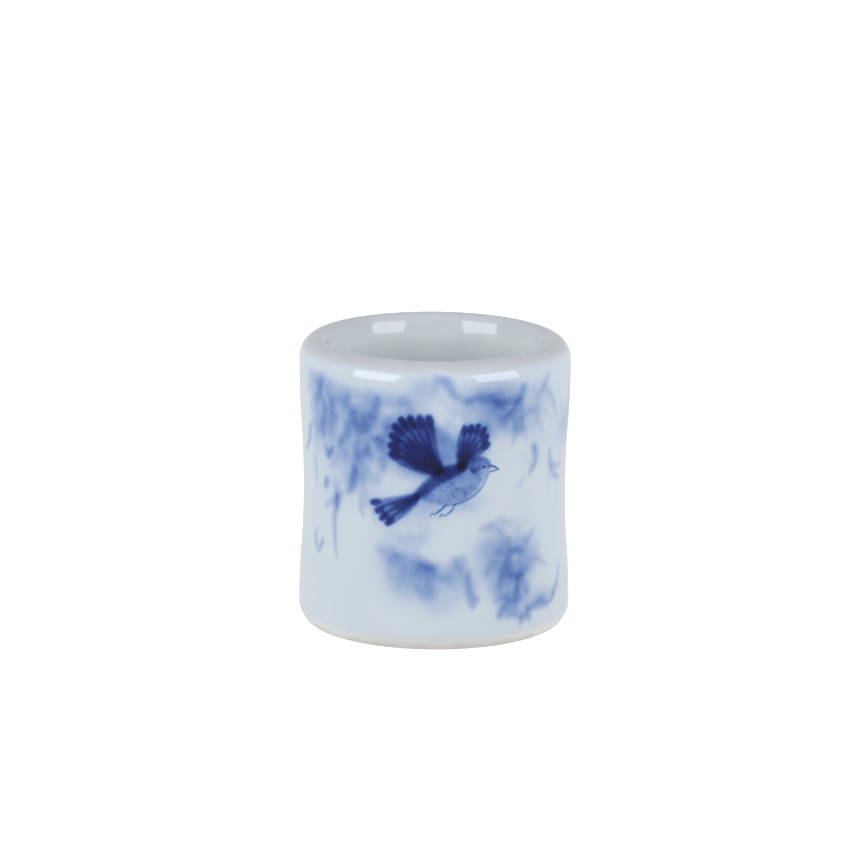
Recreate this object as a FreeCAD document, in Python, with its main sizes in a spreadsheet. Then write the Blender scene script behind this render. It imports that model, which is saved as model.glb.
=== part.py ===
"""A porcelain desk pot that holds writing brushes: a waisted, thick-walled cylinder with a rounded lip.

The biscuit body is one turned piece of clay. A clear glaze about 0.4 mm thick covers it in three
coats that meet without a gap: one outside, one lining the bore, one in the hollow under the base.
The foot is left bare. Millimetres, +Z up, origin at the centre of the ring that the pot stands on.
"""

import FreeCAD, Part
import Sketcher
import math
import os

DRIVING_SIZES = [
    # cell, millimetres: the biscuit body, before the glaze adds its thickness
    ("biscuit_height", 96.1),
    ("rim_radius", 44.6),  # widest point of the lip
    ("crest_radius", 38.9),  # circle along which the lip is highest
    ("bore_radius", 34.9),
    ("waist_radius", 43.15),  # narrowest point of the outside
    ("waist_height", 45.5),
    ("cheek_radius", 44.6),  # widest point of the lower wall
    ("shoulder_arc", 7.2),  # outside of the lip, low and high
    ("crest_outer_arc", 5.1),
    ("crest_inner_arc", 3.0),  # inside of the lip, high and low
    ("throat_arc", 22.0),
    ("foot_radius", 39.6),  # outer and inner edge of the ring that it stands on
    ("foot_inner_radius", 31.5),
    ("foot_low_arc", 4.5),  # rounded outside corner of the foot, low and high
    ("foot_high_arc", 9.8),
    ("floor_height", 10.5),  # inside floor above the resting plane
    ("floor_corner_arc", 8.0),
    ("recess_height", 2.6),  # hollow under the base
    ("recess_radius", 30.4),
    ("foot_edge_round", 0.7),
    ("recess_corner_round", 1.2),
    ("glaze_thickness", 0.4),
    ("glaze_line_height", 3.25),  # where the outside glaze stops above the foot
    ("glaze_edge_round", 0.3),
    ("base_glaze_radius", 28.6),
    ("base_glaze_round", 0.25),
]

RIGHT, UP, LEFT, DOWN = 0.0, 90.0, 180.0, -90.0
START, END, CENTRE = 1, 2, 3  # the sketcher's numbers for the points of a line or an arc
ORIGIN = (-1, 1)

doc = FreeCAD.newDocument("BrushPot")


def make_sheet():
    """The spreadsheet that drives every sketch."""
    made = doc.addObject("Spreadsheet::Sheet", "Sizes")
    for row, (alias, value) in enumerate(DRIVING_SIZES, start=1):
        made.set(f"A{row}", alias)
        made.set(f"B{row}", str(value))
        made.setAlias(f"B{row}", alias)
    doc.recompute()
    return made


sheet = make_sheet()


def size(alias):
    return float(sheet.get(alias))


def between(centre_a, centre_b):
    """Direction in degrees from one arc's centre to the next, along which two tangent arcs touch."""
    return math.degrees(math.atan2(centre_b[1] - centre_a[1], centre_b[0] - centre_a[0]))


def s_curve(offset, length):
    """Radius and turn in degrees of two equal arcs that step sideways by offset over length."""
    turn = 2 * math.atan(offset / length)
    return length / (2 * math.sin(turn)), math.degrees(turn)


def foot_arcs():
    """Centre, radius, start and end angle of the two arcs of the foot's outside corner."""
    low, high = size("foot_low_arc"), size("foot_high_arc")
    low_centre = (size("foot_radius"), low)
    high_x = size("cheek_radius") - high
    rise = math.sqrt((high - low) ** 2 - (low_centre[0] - high_x) ** 2)
    high_centre = (high_x, low + rise)
    touch = between(high_centre, low_centre)
    return [(low_centre, low, DOWN, touch), (high_centre, high, touch, RIGHT)]


def lip_arcs():
    """The four arcs of the lip, from the outside of the rim over its crest to the bore."""
    shoulder, outer = size("shoulder_arc"), size("crest_outer_arc")
    inner, throat = size("crest_inner_arc"), size("throat_arc")
    crest, top = size("crest_radius"), size("biscuit_height")
    shoulder_x = size("rim_radius") - shoulder
    drop = math.sqrt((shoulder - outer) ** 2 - (shoulder_x - crest) ** 2)
    outer_centre = (crest, top - outer)
    shoulder_centre = (shoulder_x, top - outer - drop)
    throat_x = size("bore_radius") + throat
    drop = math.sqrt((throat - inner) ** 2 - (throat_x - crest) ** 2)
    inner_centre = (crest, top - inner)
    throat_centre = (throat_x, top - inner - drop)
    outside = between(shoulder_centre, outer_centre)
    inside = between(throat_centre, inner_centre)
    return [
        (shoulder_centre, shoulder, RIGHT, outside),
        (outer_centre, outer, outside, UP),
        (inner_centre, inner, UP, inside),
        (throat_centre, throat, inside, LEFT),
    ]


def waist_arcs():
    """The four long arcs of the waisted wall, from the cheek through the waist to the rim."""
    waist, height = size("waist_radius"), size("waist_height")
    cheek_height = foot_arcs()[1][0][1]
    rim_height = lip_arcs()[0][0][1]
    low, low_turn = s_curve(size("cheek_radius") - waist, height - cheek_height)
    high, high_turn = s_curve(size("rim_radius") - waist, rim_height - height)
    return [
        ((size("cheek_radius") - low, cheek_height), low, RIGHT, low_turn),
        ((waist + low, height), low, LEFT + low_turn, LEFT),
        ((waist + high, height), high, LEFT, LEFT - high_turn),
        ((size("rim_radius") - high, rim_height), high, -high_turn, RIGHT),
    ]


def grown(arcs, by):
    """The same arcs moved out of the clay by a distance. An arc that runs clockwise is hollow."""
    return [(c, r + (by if end > start else -by), start, end) for c, r, start, end in arcs]


class Outline:
    """A chain of lines and arcs in one sketch. Each piece starts where the one before ended."""

    def __init__(self, body, name, start):
        self.sketch = body.newObject("Sketcher::SketchObject", name)
        plane = next(f for f in body.Origin.OriginFeatures if f.Role == "XZ_Plane")
        self.sketch.AttachmentSupport = (plane, [""])
        self.sketch.MapMode = "FlatFace"
        self.here = start
        self.ends = {}  # piece: (its first point, its last point) as the sketcher numbers them

    def line(self, to):
        a, b = (FreeCAD.Vector(*p, 0) for p in (self.here, to))
        piece = self.sketch.addGeometry(Part.LineSegment(a, b), False)
        self.here = to
        self.ends[piece] = (START, END)
        return piece

    def arc(self, centre, radius, start, end):
        circle = Part.Circle(FreeCAD.Vector(*centre, 0), FreeCAD.Vector(0, 0, 1), radius)
        low, high = (math.radians(x) for x in sorted((start, end)))
        piece = self.sketch.addGeometry(Part.ArcOfCircle(circle, low, high), False)
        turn = math.radians(end)
        self.here = (centre[0] + radius * math.cos(turn), centre[1] + radius * math.sin(turn))
        self.ends[piece] = (START, END) if end > start else (END, START)
        return piece

    def arcs(self, several):
        return [self.arc(*one) for one in several]

    def join(self, *pieces, smooth):
        """Joins each piece to the next, smoothly or at a corner."""
        kind = "Tangent" if smooth else "Coincident"
        for a, b in zip(pieces, pieces[1:]):
            self.rule(kind, a, self.ends[a][1], b, self.ends[b][0])

    def rule(self, *what):
        return self.sketch.addConstraint(Sketcher.Constraint(*what))

    def bind(self, name, rule, formula):
        """Names a dimension and ties it to the spreadsheet."""
        self.sketch.renameConstraint(rule, name)
        self.sketch.setExpression(f"Constraints.{name}", formula)

    def radius(self, piece, name, formula):
        value = self.sketch.Geometry[piece].Radius
        self.bind(name, self.rule("Radius", piece, value), formula)

    def place(self, piece, which, name, x=None, z=None):
        """Ties the first (0) or last (1) point of a piece to a distance from the axis, a height or both."""
        point = self.ends[piece][which]
        at = self.sketch.getPoint(piece, point)
        if x:
            self.bind(f"{name}_x", self.rule("DistanceX", *ORIGIN, piece, point, at.x), x)
        if z:
            self.bind(f"{name}_z", self.rule("DistanceY", *ORIGIN, piece, point, at.y), z)

    def level(self, piece, which):
        """An arc's end level with its centre, so that the wall is upright there."""
        self.rule("Horizontal", piece, CENTRE, piece, self.ends[piece][which])

    def plumb(self, piece, which):
        """An arc's end straight above or below its centre, so that the wall is flat there."""
        self.rule("Vertical", piece, CENTRE, piece, self.ends[piece][which])

    def same_centres(self, pieces, others):
        for a, b in zip(pieces, others):
            self.rule("Coincident", a, CENTRE, b, CENTRE)


def new_body(label):
    body = doc.addObject("PartDesign::Body", label)
    body.Label = label
    return body


def revolve(body, outline):
    """Turns an outline round the pot's axis."""
    doc.recompute()
    turned = body.newObject("PartDesign::Revolution", outline.sketch.Name + "Revolved")
    turned.Profile = outline.sketch
    turned.ReferenceAxis = (outline.sketch, ["V_Axis"])
    turned.Angle = 360.0
    turned.Midplane = False
    turned.Reversed = False
    doc.recompute()
    return turned


def edge_near(feature, radius, height):
    """Name of the round edge that passes closest to a place in the half plane of the outline."""

    def off(edge):
        box = edge.BoundBox
        return math.hypot(box.XMax - radius, (box.ZMin + box.ZMax) / 2 - height)

    edges = feature.Shape.Edges
    return f"Edge{min(range(len(edges)), key=lambda i: off(edges[i])) + 1}"


def rounded(body, feature, name, places, cell):
    """A fillet along the round edges near these places, each a radius and a height."""
    fillet = body.newObject("PartDesign::Fillet", name)
    fillet.Base = (feature, [edge_near(feature, *place) for place in places])
    fillet.setExpression("Radius", f"Sizes.{cell}")
    doc.recompute()
    return fillet


def bind_wall(outline, arcs, extra=""):
    """Ties the waisted wall's arcs, from the foot's high arc up, to the cells for radii and heights."""
    foot, low, low_hollow, high_hollow, high, shoulder, crest = arcs
    outline.radius(foot, "foot_high", "Sizes.foot_high_arc")
    outline.place(foot, 1, "cheek", x="Sizes.cheek_radius")
    outline.rule("Equal", low, low_hollow)
    outline.place(low_hollow, 1, "waist", x="Sizes.waist_radius", z="Sizes.waist_height")
    outline.rule("Equal", high_hollow, high)
    outline.place(high, 1, "rim", x="Sizes.rim_radius")
    outline.radius(shoulder, "shoulder", "Sizes.shoulder_arc")
    outline.radius(crest, "crest_outer", "Sizes.crest_outer_arc")
    outline.place(crest, 1, "crest", x="Sizes.crest_radius", z="Sizes.biscuit_height")
    for upright in (foot, low_hollow, high):
        outline.level(upright, 1)
    outline.plumb(crest, 1)


def bind_bore(outline, crest, throat, wall, corner, floor):
    """Ties the inside of the lip, the bore and the floor of the biscuit to their cells."""
    outline.radius(crest, "crest_inner", "Sizes.crest_inner_arc")
    outline.radius(throat, "throat", "Sizes.throat_arc")
    outline.rule("Vertical", wall)
    outline.place(wall, 0, "bore", x="Sizes.bore_radius")
    outline.radius(corner, "floor_corner", "Sizes.floor_corner_arc")
    outline.rule("Horizontal", floor)
    outline.place(floor, 1, "floor", z="Sizes.floor_height")
    outline.rule("PointOnObject", floor, outline.ends[floor][1], -2)


def porcelain_body():
    """The turned biscuit: wall, floor and foot ring in one piece, with a shallow hollow under the base."""
    body = new_body("porcelain_body")
    foot_inner, recess = size("foot_inner_radius"), size("recess_height")
    floor, corner_arc, bore = size("floor_height"), size("floor_corner_arc"), size("bore_radius")
    out = Outline(body, "BiscuitOutline", (foot_inner, 0))
    ring = out.line((size("foot_radius"), 0))
    foot_low, foot_high = out.arcs(foot_arcs())
    waist = out.arcs(waist_arcs())
    shoulder, crest, inner_crest, throat = out.arcs(lip_arcs())
    wall = out.line((bore, floor + corner_arc))
    corner = out.arc((bore - corner_arc, floor + corner_arc), corner_arc, RIGHT, DOWN)
    inside_floor = out.line((0, floor))
    axis = out.line((0, recess))
    ceiling = out.line((size("recess_radius"), recess))
    recess_wall = out.line((foot_inner, 0))

    outside = [ring, foot_low, foot_high, *waist, shoulder, crest]
    out.join(*outside, inner_crest, throat, wall, corner, inside_floor, smooth=True)
    out.join(inside_floor, axis, ceiling, recess_wall, ring, smooth=False)
    out.place(ring, 0, "foot_inner", x="Sizes.foot_inner_radius")
    out.place(ring, 1, "foot_outer", x="Sizes.foot_radius")
    for point in (START, END):
        out.rule("PointOnObject", ring, point, -1)
    out.radius(foot_low, "foot_low", "Sizes.foot_low_arc")
    bind_wall(out, [foot_high, *waist, shoulder, crest])
    bind_bore(out, inner_crest, throat, wall, corner, inside_floor)
    out.rule("Vertical", axis)
    out.rule("Horizontal", ceiling)
    out.place(ceiling, 1, "recess", x="Sizes.recess_radius", z="Sizes.recess_height")

    turned = revolve(body, out)
    edged = rounded(body, turned, "FootEdge", [(foot_inner, 0)], "foot_edge_round")
    recess_corner = [(size("recess_radius"), recess)]
    rounded(body, edged, "RecessCorner", recess_corner, "recess_corner_round")
    return body, out


def outer_glaze():
    """The coat outside: from a rounded line just above the foot, up the wall to the crest of the lip."""
    body = new_body("outer_glaze")
    thick = size("glaze_thickness")
    centre, radius, _, _ = foot_arcs()[1]
    line_angle = math.degrees(math.asin((size("glaze_line_height") - centre[1]) / radius))
    under = [(centre, radius, line_angle, RIGHT), *waist_arcs(), *lip_arcs()[:2]]
    over = [(c, r, end, start) for c, r, start, end in reversed(grown(under, thick))]
    turn = math.radians(line_angle)
    lowest = (centre[0] + radius * math.cos(turn), centre[1] + radius * math.sin(turn))
    out = Outline(body, "OuterGlazeOutline", lowest)
    inner = out.arcs(under)
    top = out.line((size("crest_radius"), size("biscuit_height") + thick))
    outer = out.arcs(over)
    low_outer = out.here
    low_edge = out.line(lowest)

    out.join(*inner, smooth=True)
    out.join(*outer, smooth=True)
    out.join(inner[-1], top, outer[0], smooth=False)
    out.join(outer[-1], low_edge, inner[0], smooth=False)
    bind_wall(out, inner)
    out.place(inner[0], 0, "glaze_line", z="Sizes.glaze_line_height")
    cheek_height = out.rule("DistanceY", *ORIGIN, inner[0], CENTRE, centre[1])
    high_less_low = "(Sizes.foot_high_arc - Sizes.foot_low_arc)"
    foot_less_centre = "(Sizes.foot_radius - Sizes.cheek_radius + Sizes.foot_high_arc)"
    out.bind(
        "cheek_height", cheek_height, f"Sizes.foot_low_arc + sqrt({high_less_low}^2 - {foot_less_centre}^2)"
    )
    out.same_centres(inner, reversed(outer))
    out.rule("Vertical", top)
    out.bind("thickness", out.rule("Distance", top, thick), "Sizes.glaze_thickness")
    out.rule("PointOnObject", inner[0], CENTRE, low_edge)

    turned = revolve(body, out)
    rounded(body, turned, "GlazeLine", [low_outer], "glaze_edge_round")
    return body, out


def inner_glaze():
    """The coat inside: from the crest of the lip down the bore and over the floor."""
    body = new_body("inner_glaze")
    thick = size("glaze_thickness")
    floor, corner_arc, bore = size("floor_height"), size("floor_corner_arc"), size("bore_radius")
    corner_centre = (bore - corner_arc, floor + corner_arc)
    lip = lip_arcs()[2:]
    out = Outline(body, "InnerGlazeOutline", (size("crest_radius"), size("biscuit_height")))
    inner_lip = out.arcs(lip)
    wall = out.line((bore, corner_centre[1]))
    corner = out.arc(corner_centre, corner_arc, RIGHT, DOWN)
    under_floor = out.line((0, floor))
    axis = out.line((0, floor + thick))
    top_floor = out.line((corner_centre[0], floor + thick))
    top_corner = out.arc(corner_centre, corner_arc - thick, DOWN, RIGHT)
    top_wall = out.line((bore - thick, lip[1][0][1]))
    outer_lip = out.arcs([(c, r, end, start) for c, r, start, end in reversed(grown(lip, thick))])
    top = out.line((size("crest_radius"), size("biscuit_height")))

    out.join(*inner_lip, wall, corner, under_floor, smooth=True)
    out.join(under_floor, axis, top_floor, smooth=False)
    out.join(top_floor, top_corner, top_wall, *outer_lip, smooth=True)
    out.join(outer_lip[-1], top, inner_lip[0], smooth=False)
    bind_bore(out, *inner_lip, wall, corner, under_floor)
    out.place(inner_lip[0], 0, "crest", x="Sizes.crest_radius", z="Sizes.biscuit_height")
    out.plumb(inner_lip[0], 0)
    out.same_centres([*inner_lip, corner], [outer_lip[1], outer_lip[0], top_corner])
    out.rule("Vertical", axis)
    out.rule("Vertical", top)
    out.bind("thickness", out.rule("Distance", axis, thick), "Sizes.glaze_thickness")
    out.rule("Horizontal", top_floor)
    out.rule("Vertical", top_wall)
    revolve(body, out)
    return body, out


def base_glaze():
    """The coat in the hollow under the base: a thin disc with a rounded edge."""
    body = new_body("base_glaze")
    thick, radius, ceiling = size("glaze_thickness"), size("base_glaze_radius"), size("recess_height")
    out = Outline(body, "BaseGlazeOutline", (0, ceiling - thick))
    face = out.line((radius, ceiling - thick))
    edge = out.line((radius, ceiling))
    back = out.line((0, ceiling))
    axis = out.line((0, ceiling - thick))
    out.join(face, edge, back, axis, face, smooth=False)
    for level in (face, back):
        out.rule("Horizontal", level)
    for upright in (edge, axis):
        out.rule("Vertical", upright)
    out.rule("PointOnObject", face, START, -2)
    out.place(edge, 1, "rim_of_disc", x="Sizes.base_glaze_radius", z="Sizes.recess_height")
    out.bind("thickness", out.rule("Distance", edge, thick), "Sizes.glaze_thickness")
    turned = revolve(body, out)
    rounded(body, turned, "DiscEdge", [(radius, ceiling - thick)], "base_glaze_round")
    return body, out


def check(bodies):
    """Stops on any failed object, any sketch with a loose or surplus dimension, and any bad solid."""
    failed = [o.Label for o in doc.Objects if {"Invalid", "Error"} & set(o.State)]
    assert not failed, f"failed objects: {failed}"
    for body, outline in bodies:
        sketch, shape = outline.sketch, body.Shape
        assert sketch.FullyConstrained, f"{sketch.Label} has a loose dimension"
        assert not sketch.RedundantConstraints, f"{sketch.Label} has a surplus dimension"
        assert not shape.isNull() and shape.isValid(), f"{body.Label} isn't a valid solid"
        assert len(shape.Solids) == 1 and shape.Volume > 0, f"{body.Label} isn't one solid"


def main():
    bodies = [porcelain_body(), outer_glaze(), inner_glaze(), base_glaze()]
    doc.recompute()
    check(bodies)
    os.makedirs("parts", exist_ok=True)
    for body, _ in bodies:
        body.Shape.exportStep(f"parts/{body.Label}.step")
        box = body.Shape.optimalBoundingBox(False)
        print(f"{body.Label}: {body.Shape.Volume:.0f} mm3, {box.XLength:.2f} across, {box.ZLength:.2f} high")


main()
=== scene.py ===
import math

import bmesh
import bpy
import numpy as np
from mathutils import Matrix, Vector


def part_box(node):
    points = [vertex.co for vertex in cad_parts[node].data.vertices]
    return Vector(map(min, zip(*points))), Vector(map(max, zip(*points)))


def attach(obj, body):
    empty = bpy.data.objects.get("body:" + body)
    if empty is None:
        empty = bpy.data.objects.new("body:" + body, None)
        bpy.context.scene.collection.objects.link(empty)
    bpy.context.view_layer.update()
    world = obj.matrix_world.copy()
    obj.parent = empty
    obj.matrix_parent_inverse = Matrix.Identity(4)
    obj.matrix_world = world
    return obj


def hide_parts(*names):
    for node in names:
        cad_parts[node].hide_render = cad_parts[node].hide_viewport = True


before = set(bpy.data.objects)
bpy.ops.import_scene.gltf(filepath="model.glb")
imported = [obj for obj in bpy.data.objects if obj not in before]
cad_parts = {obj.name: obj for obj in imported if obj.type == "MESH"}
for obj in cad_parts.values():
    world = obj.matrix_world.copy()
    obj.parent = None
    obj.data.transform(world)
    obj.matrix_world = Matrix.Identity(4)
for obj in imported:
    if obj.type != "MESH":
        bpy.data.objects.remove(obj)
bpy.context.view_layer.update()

# ---------------------------------------------------------------- sizes, in millimetres
MM = 0.001
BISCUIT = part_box("porcelain_body")[1] / MM
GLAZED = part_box("outer_glaze")[1] / MM
BORE_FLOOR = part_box("inner_glaze")[0].z / MM
BASE_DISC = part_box("base_glaze")[1] / MM
RIM = BISCUIT.x  # radius of the lip and of the lower wall
TOP = BISCUIT.z
GLAZE = GLAZED.x - BISCUIT.x  # how thick the glaze is
CREST = 38.9  # radius of the lip's highest circle
BORE = 34.9
WAIST = 43.15
WAIST_HEIGHT = 45.5
FOOT = 39.6  # outer and inner radius of the ring that it stands on
FOOT_INNER = 31.5
FOOT_LOW_ARC = 4.5
FOOT_HIGH_ARC = 9.8
SHOULDER_ARC = 7.2
CREST_OUTER_ARC = 5.1
CREST_INNER_ARC = 3.0
THROAT_ARC = 22.0
FLOOR_ARC = 8.0
RECESS = 30.4
RECESS_ARC = 1.2
FOOT_EDGE_ARC = 0.7
GLAZE_LINE = 3.3  # height where the outside glaze stops
GLAZE_RUNS_OUT = 2.4  # height over which it thins to nothing much
GIRTH = 2 * math.pi * 44.3  # once round the wall
DEGREE = GIRTH / 360

RIGHT, UP, LEFT, DOWN = 0.0, 90.0, 180.0, -90.0


# ---------------------------------------------------------------- outlines
# An arc is its centre, radius, and start and end in degrees.
def touching(centre, radius, other, x, side):
    """Centre, at x, of a circle that touches another from within: side is 1 above it and -1 below."""
    return x, centre[1] + side * math.sqrt((radius - other) ** 2 - (x - centre[0]) ** 2)


def direction(a, b):
    return math.degrees(math.atan2(b[1] - a[1], b[0] - a[0]))


def bend(offset, length):
    """Radius and turn of two equal arcs that step sideways by offset over length."""
    turn = 2 * math.atan(offset / length)
    return length / (2 * math.sin(turn)), math.degrees(turn)


def foot_arcs():
    low = (FOOT, FOOT_LOW_ARC)
    high = touching(low, FOOT_LOW_ARC, FOOT_HIGH_ARC, RIM - FOOT_HIGH_ARC, 1)
    touch = direction(high, low)
    return [(low, FOOT_LOW_ARC, DOWN, touch), (high, FOOT_HIGH_ARC, touch, RIGHT)]


def lip_arcs():
    outer = (CREST, TOP - CREST_OUTER_ARC)
    shoulder = touching(outer, CREST_OUTER_ARC, SHOULDER_ARC, RIM - SHOULDER_ARC, -1)
    inner = (CREST, TOP - CREST_INNER_ARC)
    throat = touching(inner, CREST_INNER_ARC, THROAT_ARC, BORE + THROAT_ARC, -1)
    outside, inside = direction(shoulder, outer), direction(throat, inner)
    return [
        (shoulder, SHOULDER_ARC, RIGHT, outside),
        (outer, CREST_OUTER_ARC, outside, UP),
        (inner, CREST_INNER_ARC, UP, inside),
        (throat, THROAT_ARC, inside, LEFT),
    ]


def wall_arcs():
    low_height, high_height = foot_arcs()[1][0][1], lip_arcs()[0][0][1]
    low, low_turn = bend(RIM - WAIST, WAIST_HEIGHT - low_height)
    high, high_turn = bend(RIM - WAIST, high_height - WAIST_HEIGHT)
    return [
        ((RIM - low, low_height), low, RIGHT, low_turn),
        ((WAIST + low, WAIST_HEIGHT), low, LEFT + low_turn, LEFT),
        ((WAIST + high, WAIST_HEIGHT), high, LEFT, LEFT - high_turn),
        ((RIM - high, high_height), high, -high_turn, RIGHT),
    ]


def traced(arcs, grow=0.0, step=0.1):
    """Points along arcs whose surface is moved out by grow. An arc that runs clockwise is hollow."""
    points = []
    for centre, radius, start, end in arcs:
        radius += grow if end > start else -grow
        count = max(2, round(radius * math.radians(abs(end - start)) / step))
        turn = np.radians(np.linspace(start, end, count))
        points.append(np.stack([centre[0] + radius * np.cos(turn), centre[1] + radius * np.sin(turn)], 1))
    return np.concatenate(points)


def spaced(line, step_at):
    """Points along a line, each as far from the last as step_at says for that height."""
    run = np.concatenate([[0], np.hypot(*np.diff(line, axis=0).T).cumsum()])
    stops = [0.0]
    while stops[-1] < run[-1]:
        height = np.interp(stops[-1], run, line[:, 1])
        stops.append(stops[-1] + step_at(height))
    stops = np.array(stops) * run[-1] / stops[-1]
    return np.stack([np.interp(stops, run, line[:, 0]), np.interp(stops, run, line[:, 1])], 1)


# ---------------------------------------------------------------- small numeric helpers
def smooth(x):
    x = np.clip(x, 0, 1)
    return x * x * (3 - 2 * x)


def between(sheet, u, v):
    """Values of a sheet at places between its columns u and rows v. The sheet closes up round the pot."""
    i, j = np.floor(u).astype(int), np.floor(v).astype(int)
    f, g = smooth(u - i), smooth(v - j)
    a, b = i % len(sheet), (i + 1) % len(sheet)
    low = sheet[a, j] * (1 - f) + sheet[b, j] * f
    high = sheet[a, j + 1] * (1 - f) + sheet[b, j + 1] * f
    return low * (1 - g) + high * g


def cloud(at, size, seed):
    """Smooth random values from -1 to 1, with features about this size, that close up round the pot."""
    around = round(GIRTH / size)
    lattice = np.random.default_rng(seed).uniform(-1, 1, (around, int(125 / size) + 3))
    return between(lattice, at[..., 0] / GIRTH * around, np.clip(at[..., 1] + 10, 0, 120) / size)


def blurred(sheet, size):
    """A sheet of the painting with everything on it spread by about size millimetres."""
    along, up = np.fft.fftfreq(len(sheet), CELL), np.fft.fftfreq(sheet.shape[1], CELL)
    spread = np.exp(-2 * (math.pi * size) ** 2 * (along[:, None] ** 2 + up**2))
    return np.fft.ifft2(np.fft.fft2(sheet) * spread).real


def curve(points, closed=False, steps=7):
    """A smooth line through listed points: degrees round from the front, and height in millimetres."""
    p = np.array(points, float) * (DEGREE, 1)
    if closed:
        p = np.concatenate([p[-1:], p, p[:2]])
    else:
        p = np.concatenate([2 * p[:1] - p[1:2], p, 2 * p[-1:] - p[-2:-1]])
    t = np.linspace(0, 1, steps, endpoint=False)[:, None]
    spans = []
    for a, b, c, d in zip(p, p[1:], p[2:], p[3:]):
        spans.append(0.5 * (2 * b + (c - a) * t + (2 * a - 5 * b + 4 * c - d) * t**2
                            + (3 * b - a - 3 * c + d) * t**3))
    if not closed:
        spans.append(p[-2:-1])
    return np.concatenate(spans)


# ---------------------------------------------------------------- the painting
CELL = 0.25  # size of the squares that the painting is worked out on, in millimetres
BELOW = 8.0  # how far the sheet reaches below the foot
SWELL = np.array([0.5, 1.0, 0.95, 0.5])  # a usual stroke's width along it, as shares of its greatest


def over(a, b):
    """Pigment on pigment builds up towards 1."""
    return 1 - (1 - a) * (1 - b)


class Painting:
    """Cobalt on the unrolled wall, from the front round: a density from 0 for none to 1 for blue black."""

    def __init__(self, loose=0.0):
        """loose is about how far a listed stroke or blot strays from its place: degrees and millimetres."""
        self.loose = loose
        self.draw = np.random.default_rng(29)
        places = np.arange(round(GIRTH / CELL)) * CELL, np.arange(0, 112, CELL) - BELOW
        flat = np.stack(np.meshgrid(*places, indexing="ij"), -1)
        shake = np.stack([cloud(flat, 1.6, seed) for seed in (3, 4)], -1)
        sway = np.stack([cloud(flat, 6.0, seed) for seed in (5, 6)], -1)
        self.at = flat + 0.14 * shake + 0.22 * sway
        self.density = np.zeros(flat.shape[:2])

    def lay(self, low, high, reach, amount_at):
        """Adds pigment near a box."""
        first, last = (low - reach - 0.5) / CELL, (high + reach + 0.5) / CELL
        lift = BELOW / CELL
        columns = np.arange(int(first[0]) - 1, int(last[0]) + 2)
        rows = slice(max(0, int(first[1] + lift)), max(0, int(last[1] + lift) + 2))
        turns, column = np.divmod(columns, len(self.at))
        at = self.at[column, rows] + np.stack([turns * GIRTH, 0 * turns], -1)[:, None]
        amount = amount_at(at.reshape(-1, 2)).reshape(at.shape[:2])
        self.density[column, rows] = over(self.density[column, rows], amount)

    def stroke(self, tone, wide, points, soft=1.0, fade=None):
        """A brush stroke. wide is its widths from start to end, or its greatest width where it has the
        usual swell and taper. fade is its tone at the end."""
        wide = wide if np.ndim(wide) else wide * SWELL
        line = curve(points)
        a, step = line[:-1], np.diff(line, axis=0)
        share = np.linspace(0, 1, len(line))
        half = np.interp(share, np.linspace(0, 1, len(wide)), wide) / 2
        tones = np.interp(share, [0, 1], [tone, tone if fade is None else fade])
        square = (step**2).sum(1)

        def amount(at):
            rel = at[:, None] - a
            along = np.clip((rel * step).sum(-1) / square, 0, 1)
            gap = np.hypot(*np.moveaxis(rel - along[..., None] * step, -1, 0))
            gap -= half[:-1] + along * np.diff(half)
            best = gap.argmin(1)
            rows = np.arange(len(at))
            shade = tones[:-1][best] + along[rows, best] * np.diff(tones)[best]
            return shade * smooth(0.5 - gap[rows, best] / soft)

        self.lay(line.min(0), line.max(0), max(wide) / 2 + soft, amount)

    def patch(self, tone, points, soft=1.2):
        """A filled shape with a soft edge."""
        line = curve(points, closed=True)
        a, b = line, np.roll(line, -1, axis=0)
        step = b - a
        square = (step**2).sum(1)

        def amount(at):
            rel = at[:, None] - a
            along = np.clip((rel * step).sum(-1) / square, 0, 1)
            gap = np.hypot(*np.moveaxis(rel - along[..., None] * step, -1, 0)).min(1)
            straddles = (a[:, 1] > at[:, None, 1]) != (b[:, 1] > at[:, None, 1])
            rise = np.where(step[:, 1] == 0, 1, step[:, 1])
            crossing = a[:, 0] + (at[:, None, 1] - a[:, 1]) / rise * step[:, 0]
            inside = (straddles & (at[:, None, 0] < crossing)).sum(1) % 2 == 1
            return tone * smooth(0.5 + np.where(inside, gap, -gap) / soft)

        self.lay(line.min(0), line.max(0), soft, amount)

    def blot(self, tone, at, across, up, lean=0.0):
        """A soft round spot, or an upright or leaning oval one."""
        centre = np.array(at) * (DEGREE, 1)
        turn = math.radians(lean)
        reach = 2.2 * max(across, up)

        def amount(at):
            du, dv = (at - centre).T
            u, v = du * math.cos(turn) + dv * math.sin(turn), dv * math.cos(turn) - du * math.sin(turn)
            return tone * np.exp(-((u / across) ** 2) - (v / up) ** 2)

        self.lay(centre, centre, reach, amount)

    def lift(self, share, at, across, up):
        """Wipes some of the pigment away round a point."""
        u, v = np.moveaxis(self.at - np.array(at) * (DEGREE, 1), -1, 0)
        u = (u + GIRTH / 2) % GIRTH - GIRTH / 2
        self.density *= 1 - share * np.exp(-((u / across) ** 2) - (v / up) ** 2)

    def strokes(self, listed, **how):
        for tone, wide, points in listed:
            self.stroke(tone, wide, np.array(points) + self.draw.normal(0, 1, 2) * self.loose, **how)

    def blots(self, listed):
        for tone, at, *size in listed:
            self.blot(tone, np.array(at) + self.draw.normal(0, 1, 2) * self.loose, *size)


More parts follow.
